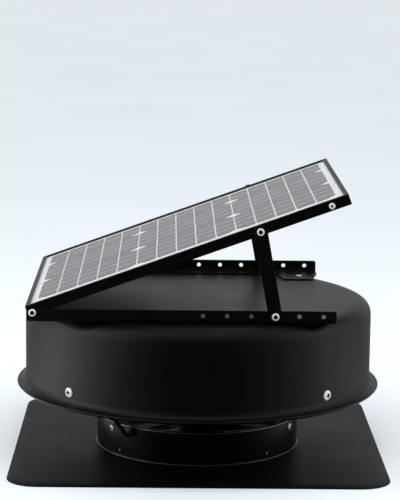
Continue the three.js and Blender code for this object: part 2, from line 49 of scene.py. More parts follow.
LATHE_SIDES = 192  # sides of the large turned pieces
SMALL_SIDES = 48  # sides of screws and other small turned pieces
MOTOR_SIDES = 96  # sides of the motor and the hub
ARC_STEPS = 10  # points on a quarter turn of a bend
SHOULDER_STEPS = 32  # points on the dome's shoulder
SHARP = radians(38)  # edges bent more than this stay crisp
GRAIN_DEPTH = 0.0002  # height of a finish's grain
RING_STRENGTH = 0.05  # relief of the rings that spinning leaves on the dome
NOISE_MIDDLE = (0.3, 0.7)  # where most of a noise's values lie
SEAT_GAP = 0.0003  # clearance under a fastener's head

CAMERA = Sizes(
    lens=143.05, sensor=36, far=200, place=(-0.0531, -3.2936, 0.88722),
    pitch=9.623, yaw=0.948, roll=0.719,
)

SHEET = 0.0015  # sheet of the dome and the collar
DOME = Sizes(
    wall=0.2905, flare=0.0115, lip_bend=0.0022, bead=0.0017, tuck=0.002, lip=0.0055,
    shoulder_width=0.040, shoulder_height=0.0292, shoulder_power=3.0,
    crown_radius=0.200, crown_height=0.003, hole=0.0085,
)
COLLAR = Sizes(outer=0.170, lip=0.164, bend=0.0024, foot=0.1716, foot_bend=0.0008)
FLASHING = Sizes(thickness=0.0012, corner=0.050, inner=0.1666, outer=0.1681, fillet=0.0008)

STRAP = Sizes(
    thickness=0.0024, width=0.014, collar_azimuth=-40.7, collar_radius=0.1744,
    dome_azimuth=-45.6, dome_radius=0.2852, arm_reach=0.56, arm_height=0.117,
    bend=0.0028, count=4, inside_radius=0.159, inside_top=0.064, tab_top=0.0555,
)
RAIL = Sizes(
    sheet=0.002, bend=0.0035, corner=0.004, tab_inner=0.151, tab_near=0.141,
    tab_far=0.214, slant=0.011, strip=0.202, hole_start=0.0036, hole_pitch=0.038,
    hole_count=6, hole_radius=0.0035, screw_x=0.180, screw_y=0.1765, screw_hole=0.0028,
    hinge_hole=0.0029, hole_height=0.263, outer=0.2325, fold=0.229,
)
PANEL = Sizes(
    tilt=radians(20), left=-0.008, right=0.529, side=0.2295, floor=-0.0046,
    wall=0.0015, edge_gap=0.0005, laminate=0.0127, sheet=0.0007,
)
CELL = Sizes(
    size=0.15675, pitch=0.15885, columns=15, strips=5, first_column=0.0161,
    column_pitch=0.0336, column_gap=0.0020, first_row=0.2125, row_gap=0.0010,
    chamfer_x=0.014, chamfer_y=0.011, thickness=0.0002, quarters=4, ribbon=0.002,
    tail=0.003, foil=0.00004, lift=0.00003, seat=0.00002,
)
LEG = Sizes(width=0.022, edge=0.0005, hole=0.0033)
LID = Sizes(
    x=0.150, bottom=-0.0092, half_x=0.047, half_y=0.037, corner=0.008, screw_x=0.040,
    screw_y=0.030, hole=0.0031, thickness=0.0025, edge=0.0006, rib_pitch=0.009,
    rib_half=0.0012, rib_reach=0.028, gland=0.0453,
)
BLADE = Sizes(
    count=5, root=0.0305, tip=0.160, height=0.0205, thickness=0.0016,
    camber=0.003, root_chord=0.034, tip_chord=0.078, root_pitch=38, tip_pitch=17,
)
# Each fastener's head radius and height, shank radius and length.
SCREWS = {
    "dome": (0.0081, 0.0034, 0.0025, 0.012), "mount": (0.0056, 0.0036, 0.0025, 0.009),
    "top": (0.0055, 0.0028, 0.0024, 0.010), "rivet": (0.0036, 0.0014, 0.002, 0.006),
    "hinge_bolt": (0.0059, 0.003, 0.0025, 0.010), "foot_bolt": (0.0059, 0.0032, 0.0029, 0.0105),
    "leg_bolt": (0.0059, 0.0032, 0.0029, 0.0028), "frame_screw": (0.005, 0.0025, 0.0023, 0.008),
}
# Shares of a screw's head: CROSS of its radius, RECESS of its height.
CROSS = Sizes(arm=0.62, half=0.20, taper=0.6)
RECESS = Sizes(height=1.2, floor=0.22)
BOLT_BODIES = {"hinge_bolt": "base", "foot_bolt": "base", "leg_bolt": "leg", "frame_screw": "panel"}
RIVET_HOLE = Sizes(radius=0.0011, floor=0.0004, top=0.003)
BOLT_FLAT = 0.45  # share of a button head's height that its side wall takes
SOCKET_SHARE = 0.64  # a hexagon socket's radius as a share of its head's

# -- Studio --

# Its brightness from the front (0) past the sides (0.5) to the back (1).
BRIGHTNESS = ((0.0, 0.0), (1.0, 0.40), (0.05, 0.02), (0.15, 0.12), (0.26, 0.36), (0.39, 0.76), (0.46, 0.92),
              (0.58, 0.72), (0.72, 0.33), (0.82, 0.21), (0.93, 0.29))
SKY_COLOUR = (0.95, 0.975, 1.0, 1)
SKY_GLOW = 1.6  # strength of the studio that gloss mirrors
FLOOR_GLOW = 1.1  # the same below the horizon
SKY_SOFT = 0.98  # the even sky that lights matt surfaces
OVERHEAD = 0.3  # share of the brightness left straight overhead
LEAN = (-0.38, -0.03)  # how much dimmer the studio is on the right: at the sides, and behind
FLOOR_COLOURS = ((0.82, 0.86, 0.885), (0.84, 0.88, 0.905))
FLOOR = Sizes(radius=60, thickness=0.02, sides=96, gap=0.0001)
LIGHT_TARGET = (0, 0, 0.15)
# Each soft light's name, place, size and power.
LIGHTS = (
    ("top_box", (0.0, -0.4, 2.6), (2.4, 1.8), 24),
    ("left_box", (-2.4, -0.4, 1.2), (0.8, 1.6), 9),
    ("right_box", (2.4, -0.4, 1.2), (0.8, 1.6), 7),
)


# -- Shader nodes --

def add_node(tree, kind, inputs=None, **settings):
    """Adds a shader node; an input is a value or another node's output."""
    made = tree.nodes.new(f"ShaderNode{kind}")
    for key, value in settings.items():
        setattr(made, key, value)
    for key, value in (inputs or {}).items():
        if isinstance(value, bpy.types.NodeSocket):
            tree.links.new(value, made.inputs[key])
        else:
            made.inputs[key].default_value = value
    return made


def maths(tree, operation, *values, **settings):
    """The outcome of one sum; each value is a number or another node's output."""
    return add_node(tree, "Math", dict(enumerate(values)), operation=operation, **settings).outputs[0]


def spread(tree, value, come, go, **settings):
    """Maps a value from one (low, high) range to another."""
    return add_node(tree, "MapRange", {
        "Value": value, "From Min": come[0], "From Max": come[1], "To Min": go[0], "To Max": go[1],
    }, **settings).outputs[0]


def blend(tree, factor, first, second):
    """Mixes two colours, each a value or another node's output."""
    mix = add_node(tree, "Mix", {"Factor": factor}, data_type="RGBA")
    for socket, colour in zip([socket for socket in mix.inputs if socket.type == "RGBA"], (first, second)):
        if isinstance(colour, bpy.types.NodeSocket):
            tree.links.new(colour, socket)
        else:
            socket.default_value = (*colour, 1)
    return next(socket for socket in mix.outputs if socket.type == "RGBA")


def own_place(tree):
    """Where a point lies in its piece's own metres."""
    return add_node(tree, "TexCoord").outputs["Object"]


def spread_noise(tree, place, scale, detail=3.0, stretch=(1, 1, 1)):
    """A noise pattern in the piece's own metres, drawn out along an axis by stretch."""
    mapped = add_node(tree, "Mapping", {"Vector": place, "Scale": stretch})
    inputs = {"Vector": mapped.outputs[0], "Scale": scale, "Detail": detail}
    return add_node(tree, "TexNoise", inputs).outputs["Fac"]


def surface(name, dark, light, roughness, metallic=0.0, specular=0.5, patch=14.0, grain=1500.0, bump=0.1,
            stretch=(1, 1, 1), rings=0.0):
    """A finish whose colour and roughness drift in patches, over a fine grain in relief."""
    material = bpy.data.materials.new(name)
    material.use_nodes = True
    tree = material.node_tree
    shader = tree.nodes["Principled BSDF"]
    shader.inputs["Metallic"].default_value = metallic
    shader.inputs["Specular IOR Level"].default_value = specular
    place = own_place(tree)
    patches = spread_noise(tree, place, patch)
    fine = spread_noise(tree, place, grain, 2.0, stretch)
    drift = spread(tree, patches, NOISE_MIDDLE, (0.0, 1.0))
    tree.links.new(blend(tree, drift, dark, light), shader.inputs["Base Color"])
    mixed = maths(tree, "MULTIPLY", maths(tree, "ADD", patches, fine), 0.5)
    tree.links.new(spread(tree, mixed, NOISE_MIDDLE, roughness), shader.inputs["Roughness"])
    relief = add_node(tree, "Bump", {"Height": fine, "Strength": bump, "Distance": GRAIN_DEPTH})
    if rings:
        wave = add_node(tree, "TexWave", {
            "Vector": place, "Scale": rings, "Distortion": 0.6, "Detail": 1.0,
        }, wave_type="RINGS", rings_direction="Z")
        relief = add_node(tree, "Bump", {
            "Height": wave.outputs["Fac"], "Normal": relief.outputs[0],
            "Strength": RING_STRENGTH, "Distance": GRAIN_DEPTH,
        })
    tree.links.new(relief.outputs[0], shader.inputs["Normal"])
    return material


def cell_finish():
    """Silicon with fine silver fingers across each strip and a slight drift from strip to strip."""
    material = surface("cells", (0.050, 0.047, 0.051), (0.072, 0.068, 0.073), (0.30, 0.42), specular=0.3,
                       patch=9.0, grain=900.0, bump=0.03)
    tree = material.node_tree
    colour = tree.nodes["Principled BSDF"].inputs["Base Color"]
    wave = add_node(tree, "TexWave", {"Vector": own_place(tree), "Scale": 198.0}, bands_direction="X")
    finger = spread(tree, wave.outputs["Fac"], (0.86, 1.0), (0.0, 0.5))
    tree.links.new(blend(tree, finger, colour.links[0].from_socket, (0.26, 0.265, 0.28)), colour)
    return material


def glass_finish():
    """Clear glass: what lies under it shows straight through, below a rippled mirror skin."""
    material = bpy.data.materials.new("panel_glass")
    material.use_nodes = True
    tree = material.node_tree
    tree.nodes.remove(tree.nodes["Principled BSDF"])
    ripple = spread_noise(tree, own_place(tree), 700.0, 2.0)
    relief = add_node(tree, "Bump", {"Height": ripple, "Strength": 0.12, "Distance": GRAIN_DEPTH})
    mirror = add_node(tree, "BsdfGlossy", {
        "Color": (1.0, 0.97, 0.99, 1), "Roughness": 0.16, "Normal": relief.outputs[0],
    })
    clear = add_node(tree, "BsdfTransparent", {"Color": (0.985, 0.98, 0.985, 1)})
    facing = add_node(tree, "Fresnel", {"IOR": 1.16})
    inside = add_node(tree, "NewGeometry").outputs["Backfacing"]
    skin = maths(tree, "SUBTRACT", facing.outputs[0], inside, use_clamp=True)
    mix = add_node(tree, "MixShader", {0: skin, 1: clear.outputs[0], 2: mirror.outputs[0]})
    tree.links.new(mix.outputs[0], tree.nodes["Material Output"].inputs["Surface"])
    return material


COAT_GRAIN = {"grain": 1100.0, "bump": 0.10}
COAT = surface("black_coat", (0.0008, 0.0008, 0.0009), (0.0014, 0.0014, 0.0016), (0.34, 0.44),
               specular=0.42, **COAT_GRAIN)
SPUN_COAT = surface("black_coat_spun", (0.0007, 0.0007, 0.0008), (0.0013, 0.0013, 0.0015), (0.34, 0.44),
                    specular=0.42, rings=60.0, **COAT_GRAIN)
# A darker, less glossy copy of the black coat for the collar: painted shade for the collar standing in the
# dome's shadow.
COLLAR_COAT_PAINTED_SHADE = surface("black_coat_collar_painted_shade", (0.0006, 0.0006, 0.0007), (0.0012, 0.0012, 0.0013), (0.22, 0.30),
                      specular=0.18, **COAT_GRAIN)
# Bare-metal grey for the collar's rolled lip and foot edges: partly wear, partly a painted highlight for the
# bright lines along those edges.
WORN_EDGE_AND_HIGHLIGHT = surface("worn_edge_and_painted_highlight", (0.16, 0.16, 0.17), (0.30, 0.30, 0.31), (0.24, 0.36), metallic=0.9,
                    patch=40.0, bump=0.08)
PLATE_COAT = surface("black_coat_plate", (0.0012, 0.0012, 0.0013), (0.0022, 0.0022, 0.0024), (0.40, 0.52),
                     specular=0.20, patch=7.0, **COAT_GRAIN)
ANODISED = surface("black_anodised", (0.0008, 0.0008, 0.0009), (0.0014, 0.0014, 0.0015), (0.34, 0.44),
                   specular=0.35, grain=900.0, bump=0.08, stretch=(0.03, 1, 1))
FINE_GRAIN = {"patch": 300.0, "grain": 3000.0, "bump": 0.08}
ZINC = surface("zinc", (0.80, 0.81, 0.82), (0.90, 0.90, 0.91), (0.16, 0.30), metallic=0.35, specular=0.8,
               **FINE_GRAIN)
# Near black on the faces left inside screw and bolt recesses: painted shade for the shadow that falls inside
# each recess.
SOCKET_PAINTED_SHADE = surface("painted_socket_shade", (0.004, 0.004, 0.004), (0.008, 0.008, 0.008), (0.5, 0.7), specular=0.2,
                 **FINE_GRAIN)
MOTOR_PAINT = surface("motor_paint", (0.070, 0.071, 0.076), (0.095, 0.096, 0.10), (0.38, 0.5), bump=0.12)
BLADE_FINISH = surface("black_anodised_blade", (0.0010, 0.0010, 0.0011), (0.0018, 0.0018, 0.002),
                       (0.55, 0.68), specular=0.06, grain=1600.0, bump=0.08, stretch=(0.05, 1, 1))
PLASTIC = surface("black_plastic", (0.012, 0.012, 0.013), (0.018, 0.018, 0.019), (0.5, 0.62),
                  grain=2600.0, bump=0.2)
RUBBER = surface("rubber", (0.010, 0.010, 0.010), (0.016, 0.016, 0.016), (0.7, 0.85), specular=0.3,
                 grain=1800.0, bump=0.2)
BACKSHEET = surface("white_backsheet", (0.80, 0.80, 0.80), (0.84, 0.84, 0.84), (0.45, 0.55),
                    patch=30.0, grain=500.0, bump=0.06)
RIBBON = surface("tinned_ribbon", (0.78, 0.79, 0.80), (0.86, 0.86, 0.87), (0.30, 0.42), metallic=0.2,
                 grain=2000.0, bump=0.05, stretch=(0.05, 1, 1))
CELLS = cell_finish()
GLASS = glass_finish()


# -- Mesh helpers --

def add_object(name, data):
    """Adds an object to the scene."""
    made = bpy.data.objects.new(name, data)
    bpy.context.scene.collection.objects.link(made)
    return made


def to_mesh(build, name):
    """Turns a bmesh into a mesh with its faces pointing out."""
    bmesh.ops.recalc_face_normals(build, faces=build.faces[:])
    mesh = bpy.data.meshes.new(name)
    build.to_mesh(mesh)
    build.free()
    return mesh


def show(name, shape, material, body, nodes=(), place=None, bevel=0.0):
    """Shows a mesh or a bmesh as a piece that rides on a body and stands for CAD nodes."""
    mesh = to_mesh(shape, name) if isinstance(shape, bmesh.types.BMesh) else shape
    piece = add_object(name, mesh)
    if not mesh.materials:
        mesh.materials.append(material)
    mesh.shade_smooth()
    mesh.set_sharp_from_angle(angle=SHARP)
    if bevel:
        round_edges(piece, bevel)
    if place is not None:
        piece.matrix_world = place
    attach(piece, body)
    if nodes:
        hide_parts(*nodes)
    return piece


def round_edges(piece, width):
    """Rounds a piece's sharp edges a little, so that they catch the light."""
    edges = piece.modifiers.new("rounded_edges", "BEVEL")
    edges.width = width
    edges.segments = 3
    edges.limit_method = "ANGLE"
    edges.angle_limit = SHARP
    edges.harden_normals = True


def move(build, *way):
    """Moves a bmesh."""
    bmesh.ops.translate(build, verts=build.verts[:], vec=way)
    return build


def arc(centre, radius, start, end, steps=ARC_STEPS):
    """Points on an arc, in degrees, from start to end."""
    turns = [radians(start + (end - start) * step / steps) for step in range(steps + 1)]
    return [(centre[0] + radius * cos(turn), centre[1] + radius * sin(turn)) for turn in turns]


def lathe(profile, sides=SMALL_SIDES, closed=True):
    """Turns an outline of (radius, height) points round Z. Points on the axis become one vertex.

    A closed outline joins its last point to its first; an open one starts and ends on the axis."""
    build = bmesh.new()
    turns = [2 * pi * side / sides for side in range(sides)]
    rings = []
    for radius, height in profile:
        if radius < 1e-7:
            rings.append([build.verts.new((0, 0, height))] * sides)
        else:
            points = [(radius * cos(turn), radius * sin(turn), height) for turn in turns]
            rings.append([build.verts.new(point) for point in points])
    return join_rings(build, rings, closed)


def join_rings(build, rings, closed=True):
    """Fills the faces between one ring of vertices and the next."""
    for ring, above in zip(rings, rings[1:] + (rings[:1] if closed else [])):
        for side, corner in enumerate(ring):
            after = (side + 1) % len(ring)
            corners = list(dict.fromkeys([corner, ring[after], above[after], above[side]]))
            if len(corners) > 2:
                build.faces.new(corners)
    return build


def prism(outline, thickness):
    """Thickens a flat outline of (x, y) points from z = 0 upwards."""
    build = bmesh.new()
    low = [build.verts.new((x, y, 0)) for x, y in outline]
    high = [build.verts.new((x, y, thickness)) for x, y in outline]
    build.faces.new(low)
    build.faces.new(high)
    for index in range(len(outline)):
        after = (index + 1) % len(outline)
        build.faces.new([low[index], low[after], high[after], high[index]])
    return build


def circle(x, y, radius, sides=32):
    """A hole's outline, wound against an outer outline."""
    turns = [-2 * pi * side / sides for side in range(sides)]
    return [(x + radius * cos(turn), y + radius * sin(turn)) for turn in turns]


def drilled_sheet(outline, holes, thickness, edge):
    """A flat sheet from z = 0 to its thickness, with holes and softly rounded edges."""
    curve = bpy.data.curves.new("sheet", "CURVE")
    curve.dimensions = "2D"
    curve.fill_mode = "BOTH"
    curve.extrude = thickness / 2 - edge
    curve.bevel_depth = edge
    curve.bevel_resolution = 2
    curve.offset = -edge
    for points in [outline, *holes]:
        spline = curve.splines.new("POLY")
        spline.points.add(len(points) - 1)
        spline.use_cyclic_u = True
        for point, (x, y) in zip(spline.points, points):
            point.co = (x, y, 0, 1)
    holder = add_object("sheet", curve)
    bpy.context.view_layer.update()
    flat = bpy.data.meshes.new_from_object(holder.evaluated_get(bpy.context.evaluated_depsgraph_get()))
    bpy.data.objects.remove(holder)
    bpy.data.curves.remove(curve)
    build = bmesh.new()
    build.from_mesh(flat)
    bpy.data.meshes.remove(flat)
    bmesh.ops.remove_doubles(build, verts=build.verts[:], dist=1e-6)
    return move(build, 0, 0, thickness / 2)


def rounded_rectangle(x0, y0, x1, y1, radius):
    """An outline with round corners, anticlockwise."""
    return [
        *arc((x1 - radius, y0 + radius), radius, -90, 0),
        *arc((x1 - radius, y1 - radius), radius, 0, 90),
        *arc((x0 + radius, y1 - radius), radius, 90, 180),
        *arc((x0 + radius, y0 + radius), radius, 180, 270),
    ]


def carve(build, cutter, name, materials):
    """Cuts one bmesh from another with Blender's exact boolean; the second of the two materials covers
    the faces that the cutter leaves."""
    holders = []
    for part, material in zip((build, cutter), materials):
        mesh = to_mesh(part, name)
        mesh.materials.append(material)
        holders.append(add_object("carved", mesh))
    cutting = holders[0].modifiers.new("recess", "BOOLEAN")
    cutting.operation = "DIFFERENCE"
    cutting.solver = "EXACT"
    cutting.material_mode = "TRANSFER"
    cutting.object = holders[1]
    bpy.context.view_layer.update()
    mesh = bpy.data.meshes.new_from_object(holders[0].evaluated_get(bpy.context.evaluated_depsgraph_get()))
    for holder in holders:
        bpy.data.objects.remove(holder)
    mesh.name = name
    return mesh


def middle(node):
    """The centre of a CAD node's box."""
    low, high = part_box(node)
    return (low + high) / 2


def turned_to(azimuth):
    """Turns a piece whose front is -Y to another azimuth, in degrees towards +X."""
    return Matrix.Rotation(radians(azimuth), 4, "Z")


def facing(point, direction, spin=0.0):
    """Stands a piece whose axis is +Z at a point, facing a direction, spun about its own axis."""
    turn = Vector(direction).normalized().to_track_quat("Z", "Y").to_matrix().to_4x4()
    return Matrix.Translation(point) @ turn @ Matrix.Rotation(spin, 4, "Z")


# -- Dome --

def dome_line(offset, bottom, top):
    """The dome's skin from the lip up to the cable hole, moved inwards by offset."""
    wall = DOME.wall
    flat_top = top - DOME.crown_height
    shoulder = flat_top - DOME.shoulder_height
    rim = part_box("dome_cap")[1].x
    lip_centre = (rim - DOME.lip_bend, bottom + DOME.lip - DOME.lip_bend)
    flare_centre = (wall + DOME.flare, bottom + DOME.lip + DOME.flare)
    points = arc(lip_centre, DOME.lip_bend - offset, 0, 90)
    points += arc(flare_centre, DOME.flare + offset, 270, 180)[1:]
    width = DOME.shoulder_width - offset / 2
    height = DOME.shoulder_height - offset
    power = 2 / DOME.shoulder_power
    for step in range(SHOULDER_STEPS + 1):
        turn = step / SHOULDER_STEPS * pi / 2
        points.append((
            wall - offset - width + width * max(cos(turn), 0) ** power,
            shoulder + height * sin(turn) ** power,
        ))
    for step in range(ARC_STEPS + 1):
        part = 1 - step / ARC_STEPS
        rise = DOME.crown_height * (1 - part * part)
        points.append((DOME.crown_radius * part, flat_top - offset + rise))
    return points


def build_dome():
    low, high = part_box("dome_cap")
    bead = DOME.bead
    bead_centre = (high.x - bead - DOME.tuck, low.z + bead)
    outside = dome_line(0, low.z, high.z)
    inside = dome_line(SHEET, low.z, high.z)
    curl = arc(bead_centre, bead, 150, 360, 14)
    shell = lathe([*inside[::-1], *curl, *outside], LATHE_SIDES, closed=False)
    centre = middle("dome_grommet")
    hole = move(rod_cutter(DOME.hole, high.z - 0.01, high.z + 0.01, SMALL_SIDES), centre.x, centre.y, 0)
    mesh = carve(shell, hole, "dome_shell", (SPUN_COAT, SPUN_COAT))
    show("dome_shell", mesh, SPUN_COAT, "base", ["dome_cap"])
    build_grommet(centre)


def build_grommet(centre):
    low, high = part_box("dome_grommet")
    bore, neck, flange, soft = 0.0026, 0.0082, 0.011, 0.001
    under = low.z + 0.003
    over = high.z - 0.004
    profile = [
        (bore, low.z), *arc((flange - soft, low.z + soft), soft, -90, 0, 4),
        *arc((flange - soft, under - soft), soft, 0, 90, 4),
        (neck, under), (neck, over), (flange, over), *arc((flange - soft, over + soft), soft, 0, 70, 5),
        (0.0062, high.z - 0.0008), *arc((0.0048, high.z - 0.0012), 0.0012, 60, 90, 3), (bore, high.z),
    ]
    show("grommet", lathe(profile), RUBBER, "base", ["dome_grommet"],
         Matrix.Translation((centre.x, centre.y, 0)))


# -- Collar and flashing --

def build_collar():
    """A round wall whose foot turns out on the flashing and whose top rolls in to a lip."""
    low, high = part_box("neck_collar")
    outer, lip, bend = COLLAR.outer, COLLAR.lip, COLLAR.bend
    foot, foot_bend = COLLAR.foot, COLLAR.foot_bend
    edge = SHEET / 2
    top_centre = (outer - bend, high.z - bend)
    foot_centre = (outer + foot_bend, low.z + SHEET + foot_bend)
    profile = [
        *arc((foot - edge, low.z + edge), edge, -90, 90, 6),
        *arc(foot_centre, foot_bend, 270, 180),
        *arc(top_centre, bend, 0, 90),
        *arc((lip + edge, high.z - edge), edge, 90, 270, 6),
        *arc(top_centre, bend - SHEET, 90, 0),
        *arc(foot_centre, foot_bend + SHEET, 180, 270),
    ]
    mesh = to_mesh(lathe(profile, LATHE_SIDES), "collar")
    # The collar's darker coat copy carries painted shade.
    mesh.materials.append(COLLAR_COAT_PAINTED_SHADE)
    mesh.materials.append(WORN_EDGE_AND_HIGHLIGHT)
    # Faces round the rolled lip, its inner edge and the foot's edge take the worn grey, which also paints in
    # their highlight lines.
    for face in mesh.polygons:
        way = face.center.xy.length
        shoulder = way > outer - bend and high.z - bend < face.center.z < high.z - bend * 0.5
        inner_edge = way < lip + edge and face.center.z > high.z - SHEET
        foot_edge = way > foot - edge
        face.material_index = int(shoulder or inner_edge or foot_edge)
    show("collar", mesh, COLLAR_COAT_PAINTED_SHADE, "base", ["neck_collar"])


def build_flashing():
    """A square sheet whose round hole turns up into the upstand that the collar stands over."""
    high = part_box("flashing_plate")[1]
    thickness, corner, fillet = FLASHING.thickness, FLASHING.corner, FLASHING.fillet
    inner, outer = FLASHING.inner, FLASHING.outer
    bend = 0.0004
    profile = [
        *arc((inner + bend, bend), bend, 270, 180, 3), (inner, high.z - bend),
        *arc(((inner + outer) / 2, high.z - bend), (outer - inner) / 2, 180, 0, 6),
        *arc((outer + fillet, thickness + fillet), fillet, 180, 270, 4),
    ]
    build = bmesh.new()
    turns = [2 * pi * side / LATHE_SIDES for side in range(LATHE_SIDES)]
    rings = [[build.verts.new((r * cos(t), r * sin(t), z)) for t in turns] for r, z in profile]
    for share, inset, height in outward_steps(thickness):
        ring = []
        for turn in turns:
            edge = square_point(turn, high.x - inset, high.y - inset, corner - inset)
            round_point = Vector((cos(turn), sin(turn))) * (outer + fillet)
            flat = round_point.lerp(edge, share)
            ring.append(build.verts.new((flat.x, flat.y, height)))
        rings.append(ring)
    show("flashing", join_rings(build, rings), PLATE_COAT, "base", ["flashing_plate"])


def outward_steps(thickness):
    """From the fillet out over the top of the sheet, round its edge and back under it."""
    soft = thickness / 3
    over = [(step / 8, soft, thickness) for step in range(1, 9)]
    round_edge = [(1, soft * 0.3, thickness - soft * 0.3), (1, 0, thickness - soft), (1, 0, soft),
                  (1, soft * 0.3, soft * 0.3)]
    under = [(step / 8, soft, 0) for step in range(8, -1, -1)]
    return over + round_edge + under


def square_point(turn, half_x, half_y, corner):
    """Where a ray from the centre leaves a rectangle with round corners."""
    way = Vector((cos(turn), sin(turn)))
    reach = min(half_x / max(abs(way.x), 1e-9), half_y / max(abs(way.y), 1e-9))
    point = way * reach
    centre = Vector((copysign(half_x - corner, way.x), copysign(half_y - corner, way.y)))
    if abs(point.x) > abs(centre.x) and abs(point.y) > abs(centre.y):
        along = way.dot(centre)
        reach = along + sqrt(max(along * along - centre.length_squared + corner * corner, 0))
        point = way * reach
    return point


# -- Straps --

def polar(radius, azimuth, height=0.0):
    """A point at an azimuth in degrees from -Y towards +X."""
    turn = radians(azimuth)
    return Vector((radius * sin(turn), -radius * cos(turn), height))


def bent_line(points, radius, steps=6):
    """Rounds the inner corners of an open line."""
    line = [Vector(points[0])]
    for before, corner, after in zip(points, points[1:], points[2:]):
        corner = Vector(corner)
        back = Vector(before) - corner
        ahead = Vector(after) - corner
        reach = min(radius, back.length * 0.45, ahead.length * 0.45)
        start = corner + back.normalized() * reach
        end = corner + ahead.normalized() * reach
        for step in range(steps + 1):
            share = step / steps
            line.append(start.lerp(corner, share).lerp(corner.lerp(end, share), share))
    line.append(Vector(points[-1]))
    return line


def ribbon_outline(line, thickness):
    """The outline of a strip of even thickness that follows a smooth line."""
    sides = [[], []]
    for index, point in enumerate(line):
        before = line[max(index - 1, 0)]
        after = line[min(index + 1, len(line) - 1)]
        along = (after - before).normalized()
        across = Vector((-along.y, along.x)) * (thickness / 2)
        sides[0].append(tuple(point + across))
        sides[1].append(tuple(point - across))
    return sides[0] + sides[1][::-1]


def strap_mesh(number, outside):
    """A flat strap from its tab on the collar, up and out to its tab on the dome's wall."""
    low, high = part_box(f"dome_strap_{number}")
    start = polar(STRAP.collar_radius if outside else STRAP.inside_radius, STRAP.collar_azimuth)
    end = polar(STRAP.dome_radius, STRAP.dome_azimuth)
    reach = (end - start).length
    heading = atan2(end.y - start.y, end.x - start.x)
    foot = low.z + STRAP.thickness / 2
    tab = [(0, low.z), (0, STRAP.inside_top)]
    if outside:
        tab = [(0, STRAP.tab_top), (0, foot + 0.003), (0.0026, foot)]
    arm = STRAP.arm_height
    line = bent_line([*tab, (STRAP.arm_reach * reach, arm), (reach, arm), (reach, high.z)], STRAP.bend)
    build = prism(ribbon_outline(line, STRAP.thickness), STRAP.width)
    centred = Matrix.Translation((0, STRAP.width / 2, 0)) @ Matrix.Rotation(pi / 2, 4, "X")
    place = Matrix.Translation(start) @ Matrix.Rotation(heading, 4, "Z") @ centred
    bmesh.ops.transform(build, matrix=place, verts=build.verts[:])
    return to_mesh(build, "strap")


def build_straps():
    meshes = [strap_mesh(1, True), strap_mesh(2, False)]
    for index in range(STRAP.count):
        turn = turned_to(index * 360 / STRAP.count)
        show(f"strap_{index + 1}", meshes[min(index, 1)], COAT, "base",
             [f"dome_strap_{index + 1}"], turn, 0.0006)


# -- Fasteners --

def round_head(radius, height, shank, length, flat=0.3):
    """A low domed head over a plain shank; the head sits on z = 0."""
    crown = []
    for step in range(9):
        turn = step / 8 * pi / 2
        crown.append((radius * cos(turn) ** 0.75, height * (flat + (1 - flat) * sin(turn) ** 1.2)))
    crown[-1] = (0, height)
    soft = 0.0003
    return lathe([
        (0, -length), (shank - soft, -length), (shank, -length + soft), (shank, 0),
        (radius - soft, 0), (radius, soft), *crown,
    ])


def cross_recess(radius, height):
    """The tapered cross that a screwdriver fits."""
    arm, half = radius * CROSS.arm, radius * CROSS.half
    outline = []
    for turn in range(4):
        way = Matrix.Rotation(turn * pi / 2, 2)
        outline += [tuple(way @ Vector(point)) for point in ((arm, -half), (arm, half), (half, half))]
    build = prism(outline, height * RECESS.height)
    for vertex in build.verts:
        if vertex.co.z < height / 2:
            vertex.co.x *= CROSS.taper
            vertex.co.y *= CROSS.taper
        vertex.co.z += height * RECESS.floor
    return build


def hex_recess(radius, height):
    """The six-sided socket that a hexagon key fits."""
    turns = [pi / 3 * side for side in range(6)]
    outline = [(radius * cos(turn), radius * sin(turn)) for turn in turns]
    return move(prism(outline, height * RECESS.height), 0, 0, height * RECESS.floor)


def fasteners(kind, mesh, places, body):
    """Shows copies of one fastener: places are (CAD node, seat, direction, spin)."""
    for node, seat, direction, spin in places:
        show(node.replace(kind[0], kind[1]), mesh, ZINC, body, [node], facing(seat, direction, spin))


def screw_head(kind, name):
    """A pan head with a cross recess."""
    radius, height, shank, length = SCREWS[kind]
    head = round_head(radius, height, shank, length)
    # The recess faces take the painted shade.
    return carve(head, cross_recess(radius, height), name, (ZINC, SOCKET_PAINTED_SHADE))


def wall_places(kind, count, spin, turn):
    """Where a ring of fasteners sits on the collar, facing out."""
    places = []
    for number in range(count):
        node = f"{kind}_{number + 1}"
        centre = middle(node)
        azimuth = degrees(atan2(centre.x, -centre.y))
        seat = polar(COLLAR.outer + SEAT_GAP, azimuth, centre.z)
        places.append((node, seat, polar(1, azimuth), spin + turn * number))
    return places


def build_fasteners():
    pan = screw_head("dome", "dome_pan_head")
    small_pan = screw_head("mount", "mount_pan_head")
    top_pan = screw_head("top", "top_pan_head")
    hole = rod_cutter(RIVET_HOLE.radius, RIVET_HOLE.floor, RIVET_HOLE.top)
    rivet = carve(round_head(*SCREWS["rivet"]), hole, "blind_rivet", (COAT, ZINC))
    places = []
    for number in range(STRAP.count):
        azimuth = STRAP.dome_azimuth + 90 * number
        node = f"dome_screw_{number + 1}"
        seat = polar(DOME.wall + SEAT_GAP, azimuth, middle(node).z)
        places.append((node, seat, polar(1, azimuth), 0.4 * number))
    fasteners(("dome_screw", "dome_pan_screw"), pan, places, "base")
    fasteners(("mount_screw", "mount_pan_screw"), small_pan, wall_places("mount_screw", 3, 0.3, 1), "base")
    places = wall_places("collar_rivet", 4, 0, 0)
    fasteners(("collar_rivet", "blind_rivet"), rivet, places, "base")
    places = []
    for number in range(4):
        node = f"rail_screw_{number + 1}"
        centre = middle(node)
        seat = (centre.x, centre.y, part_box(node)[1].z - SCREWS["top"][1])
        places.append((node, seat, (0, 0, 1), 0.7 * number))
    fasteners(("rail_screw", "rail_pan_screw"), top_pan, places, "base")
    build_bolts()


def rod_cutter(radius, bottom, top, sides=16):
    """A plain rod along Z."""
    return lathe([(0, bottom), (radius, bottom), (radius, top), (0, top)], sides, closed=False)


